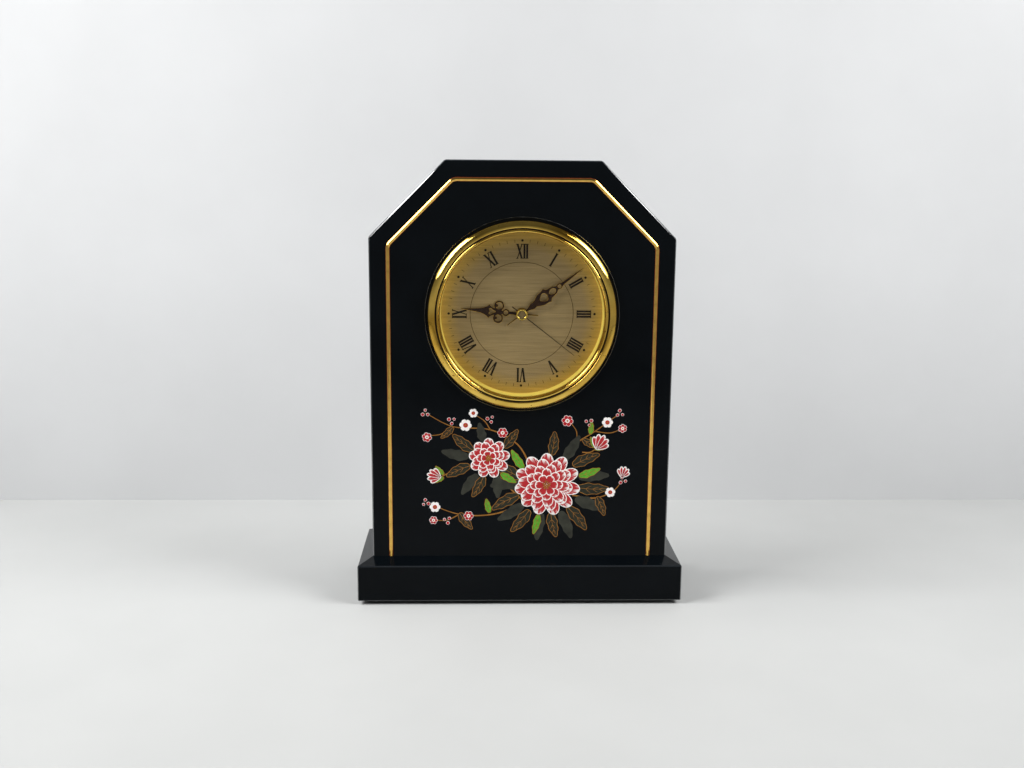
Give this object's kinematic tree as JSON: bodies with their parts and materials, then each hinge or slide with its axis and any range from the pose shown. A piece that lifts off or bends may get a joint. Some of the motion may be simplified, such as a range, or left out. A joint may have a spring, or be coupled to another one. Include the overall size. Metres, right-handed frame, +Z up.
{
  "type": "mantel clock",
  "caption": "Free-standing mantel clock: black lacquered case with clipped shoulders on a bevelled plinth, round brass bezel, Roman dial, turning hands and a battery quartz movement.",
  "frame": {"origin": "under the middle of the clock, at the level of the surface that it stands on", "axes": "+Z up; the dial faces -Y; +X to the right of a person who faces the dial"},
  "size_m": [0.213, 0.078, 0.2875],
  "materials": {
    "black_lacquer": "high gloss black lacquer on board",
    "back_board": "satin black board",
    "gilt": "gilt lining of the groove",
    "polished_brass": "polished gold-coloured brass",
    "clear_glass": "clear flat glass",
    "brushed_gold": "horizontally brushed champagne gold",
    "dark_hand": "dark brown with bright edges",
    "steel": "plated steel",
    "zinc_plate": "zinc plated sheet",
    "black_plastic": "moulded black plastic",
    "white_plastic": "moulded white plastic",
    "amber_plastic": "moulded amber plastic",
    "copper": "enamelled copper winding",
    "circuit_green": "solder mask",
    "cell_jacket": "plain printed jacket",
    "rubber": "soft black rubber"
  },
  "bodies": {
    "case": {"front_panel": "black_lacquer", "gilt_inlay": "gilt", "left_side_board": "black_lacquer", "right_side_board": "black_lacquer", "left_shoulder_board": "black_lacquer", "right_shoulder_board": "black_lacquer", "top_board": "black_lacquer", "back_panel": "back_board", "plinth": "black_lacquer", "back_screw_lower_left": "steel", "back_screw_lower_right": "steel", "back_screw_upper_left": "steel", "back_screw_upper_right": "steel", "plinth_screw_front_left": "steel", "plinth_screw_front_right": "steel", "plinth_screw_rear_left": "steel", "plinth_screw_rear_right": "steel", "foot_front_left": "rubber", "foot_front_right": "rubber", "foot_rear_left": "rubber", "foot_rear_right": "rubber", "bezel": "polished_brass", "glass": "clear_glass", "inner_ring": "polished_brass", "dial_plate": "brushed_gold", "retaining_plate": "zinc_plate", "mounting_clip_1": "zinc_plate", "mounting_clip_2": "zinc_plate", "mounting_clip_3": "zinc_plate", "clip_screw_1": "steel", "clip_screw_2": "steel", "clip_screw_3": "steel", "movement_front_plate": "black_plastic", "middle_plate": "black_plastic", "movement_rear_cover": "black_plastic", "movement_screw_left": "steel", "movement_screw_right": "steel", "stator": "zinc_plate", "coil_core": "steel", "coil": "copper", "circuit_board": "circuit_green", "quartz_crystal": "steel", "contact_positive": "steel", "contact_negative": "steel"},
    "rotor": {"rotor": "zinc_plate"},
    "intermediate": {"intermediate_wheel": "white_plastic"},
    "third": {"third_wheel": "white_plastic"},
    "centre": {"centre_wheel": "amber_plastic"},
    "minutes": {"minute_hand": "dark_hand", "minute_cannon": "steel", "clutch_spring": "steel"},
    "minute_transfer": {"minute_wheel": "amber_plastic"},
    "hours": {"hour_hand": "dark_hand", "hour_wheel": "amber_plastic"},
    "setting_knob": {"set_knob": "white_plastic"},
    "cell": {"battery": "cell_jacket"},
    "seconds": {"second_hand": "dark_hand", "second_wheel": "white_plastic"}
  },
  "joints": [
    {"name": "second_hand_turn", "type": "hinge", "parent": "case", "child": "seconds", "pos_m": [0, 0, 0.1905], "axis": [0, 1, 0], "continuous": true},
    {"name": "rotor_spin", "type": "hinge", "parent": "case", "child": "rotor", "pos_m": [-0.01498, 0, 0.18888], "axis": [0, 1, 0], "continuous": true},
    {"name": "intermediate_wheel_turn", "type": "hinge", "parent": "case", "child": "intermediate", "pos_m": [-0.00789, 0, 0.18763], "axis": [0, 1, 0], "continuous": true},
    {"name": "third_wheel_turn", "type": "hinge", "parent": "case", "child": "third", "pos_m": [0.0054, 0, 0.19985], "axis": [0, 1, 0], "continuous": true},
    {"name": "centre_wheel_turn", "type": "hinge", "parent": "case", "child": "centre", "pos_m": [0, 0, 0.1905], "axis": [0, 1, 0], "continuous": true},
    {"name": "minute_hand_turn", "type": "hinge", "parent": "case", "child": "minutes", "pos_m": [0, 0, 0.1905], "axis": [0, 1, 0], "continuous": true},
    {"name": "minute_wheel_turn", "type": "hinge", "parent": "case", "child": "minute_transfer", "pos_m": [0.00752, 0, 0.18776], "axis": [0, 1, 0], "continuous": true},
    {"name": "hour_hand_turn", "type": "hinge", "parent": "case", "child": "hours", "pos_m": [0, 0, 0.1905], "axis": [0, 1, 0], "continuous": true},
    {"name": "set_knob_turn", "type": "hinge", "parent": "case", "child": "setting_knob", "pos_m": [0.01503, 0, 0.18503], "axis": [0, 1, 0], "continuous": true},
    {"name": "battery_slide", "type": "slide", "parent": "case", "child": "cell", "axis": [0, 1, 0], "range_m": [0, 0.06]}
  ],
  "couplings": [
    {"joint": "rotor_spin", "follows": "second_hand_turn", "ratio": 30},
    {"joint": "intermediate_wheel_turn", "follows": "second_hand_turn", "ratio": -6},
    {"joint": "third_wheel_turn", "follows": "second_hand_turn", "ratio": -0.13333},
    {"joint": "centre_wheel_turn", "follows": "second_hand_turn", "ratio": 0.016667},
    {"joint": "minute_wheel_turn", "follows": "minute_hand_turn", "ratio": -0.33333},
    {"joint": "hour_hand_turn", "follows": "minute_hand_turn", "ratio": 0.083333},
    {"joint": "set_knob_turn", "follows": "minute_hand_turn", "ratio": 1}
  ]
}
